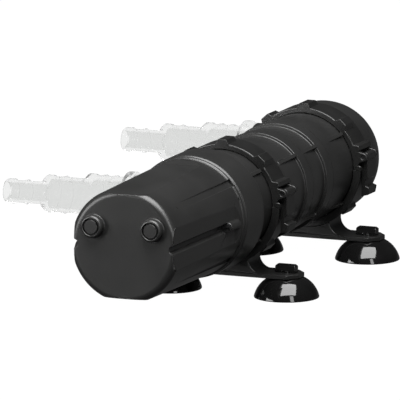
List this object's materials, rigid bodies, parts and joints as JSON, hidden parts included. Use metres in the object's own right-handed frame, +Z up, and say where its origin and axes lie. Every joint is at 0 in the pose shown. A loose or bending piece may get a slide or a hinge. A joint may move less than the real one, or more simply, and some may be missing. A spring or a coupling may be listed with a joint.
{
  "type": "uv clarifier",
  "caption": "Inline ultraviolet water clarifier: tapered lamp housing, round chamber, two clamp feet with suction cups, side inlet and outlet with stepped hose adaptors.",
  "frame": {"origin": "centre of the whole object's box, on the floor that the suction cups stand on", "axes": "+Y runs along the body from the lamp housing's face to the domed rear head, -X is the side the hose fittings point to, +Z up"},
  "size_m": [0.175, 0.3238, 0.0874],
  "materials": {
    "housing_plastic": "satin moulded charcoal-black plastic",
    "clamp_plastic": "satin moulded charcoal-black plastic",
    "inner_plastic": "plain moulded black plastic",
    "ivory_plastic": "ivory lamp-base plastic",
    "clear_plastic": "clear polished plastic",
    "quartz": "clear fused quartz",
    "lamp_glass": "clear lamp glass",
    "seal_rubber": "matt black seal rubber",
    "cup_rubber": "glossy black suction-cup rubber",
    "steel": "plain stainless steel",
    "circuit_board": "green circuit board",
    "choke_iron": "varnished core and winding",
    "capacitor_can": "sleeved capacitor can"
  },
  "bodies": {
    "root": {"front_cap": "housing_plastic", "front_plugs": "housing_plastic", "tray_screws": "steel", "cap_screws": "steel", "cable_gland": "housing_plastic", "gland_dome": "housing_plastic", "gland_nut": "housing_plastic", "electronics_tray": "inner_plastic", "ballast_board": "circuit_board", "ballast_choke": "choke_iron", "ballast_capacitor": "capacitor_can", "lamp_holder": "ivory_plastic", "lamp_base": "ivory_plastic", "lamp_tubes": "lamp_glass", "quartz_sleeve": "quartz", "sleeve_seal": "seal_rubber", "sleeve_nut": "inner_plastic", "sleeve_support": "inner_plastic", "cap_seal": "seal_rubber", "front_head": "housing_plastic", "front_joint_seal": "seal_rubber", "chamber_tube": "housing_plastic", "rear_joint_seal": "seal_rubber", "rear_head": "housing_plastic", "front_foot": "clamp_plastic", "rear_foot": "clamp_plastic", "front_hinge_pin": "steel", "rear_hinge_pin": "steel"},
    "front_clamp_band": {"front_band": "clamp_plastic", "front_latch_pin": "steel"},
    "rear_clamp_band": {"rear_band": "clamp_plastic", "rear_latch_pin": "steel"},
    "front_clamp_latch": {"front_latch": "clamp_plastic"},
    "rear_clamp_latch": {"rear_latch": "clamp_plastic"},
    "inlet_adaptor": {"inlet_fitting": "clear_plastic", "inlet_seal": "seal_rubber"},
    "outlet_adaptor": {"outlet_fitting": "clear_plastic", "outlet_seal": "seal_rubber"},
    "front_left_foot_cup": {"front_left_cup": "cup_rubber"},
    "front_right_foot_cup": {"front_right_cup": "cup_rubber"},
    "rear_left_foot_cup": {"rear_left_cup": "cup_rubber"},
    "rear_right_foot_cup": {"rear_right_cup": "cup_rubber"}
  },
  "joints": [
    {"name": "front_band_hinge", "type": "hinge", "parent": "root", "child": "front_clamp_band", "pos_m": [-0.00195, -0.00615, 0.052], "axis": [0, -1, 0], "range_deg": [0, 70]},
    {"name": "front_latch_hinge", "type": "hinge", "parent": "front_clamp_band", "child": "front_clamp_latch", "pos_m": [0.07015, -0.00615, 0.059], "axis": [0, -1, 0], "range_deg": [0, 75]},
    {"name": "rear_band_hinge", "type": "hinge", "parent": "root", "child": "rear_clamp_band", "pos_m": [-0.00195, 0.11465, 0.052], "axis": [0, -1, 0], "range_deg": [0, 70]},
    {"name": "rear_latch_hinge", "type": "hinge", "parent": "rear_clamp_band", "child": "rear_clamp_latch", "pos_m": [0.07015, 0.11465, 0.059], "axis": [0, -1, 0], "range_deg": [0, 75]},
    {"name": "inlet_turn", "type": "hinge", "parent": "root", "child": "inlet_adaptor", "pos_m": [-0.00755, -0.03095, 0.053], "axis": [-1, 0, 0], "range_deg": [0, 90]},
    {"name": "outlet_turn", "type": "hinge", "parent": "root", "child": "outlet_adaptor", "pos_m": [-0.00755, 0.13945, 0.053], "axis": [-1, 0, 0], "range_deg": [0, 90]},
    {"name": "front_left_cup_swivel", "type": "hinge", "parent": "root", "child": "front_left_foot_cup", "pos_m": [-0.00055, -0.00615, 0.0138], "axis": [0, 0, 1], "continuous": true},
    {"name": "front_right_cup_swivel", "type": "hinge", "parent": "root", "child": "front_right_foot_cup", "pos_m": [0.06945, -0.00615, 0.0138], "axis": [0, 0, 1], "continuous": true},
    {"name": "rear_left_cup_swivel", "type": "hinge", "parent": "root", "child": "rear_left_foot_cup", "pos_m": [-0.00055, 0.11465, 0.0138], "axis": [0, 0, 1], "continuous": true},
    {"name": "rear_right_cup_swivel", "type": "hinge", "parent": "root", "child": "rear_right_foot_cup", "pos_m": [0.06945, 0.11465, 0.0138], "axis": [0, 0, 1], "continuous": true}
  ]
}
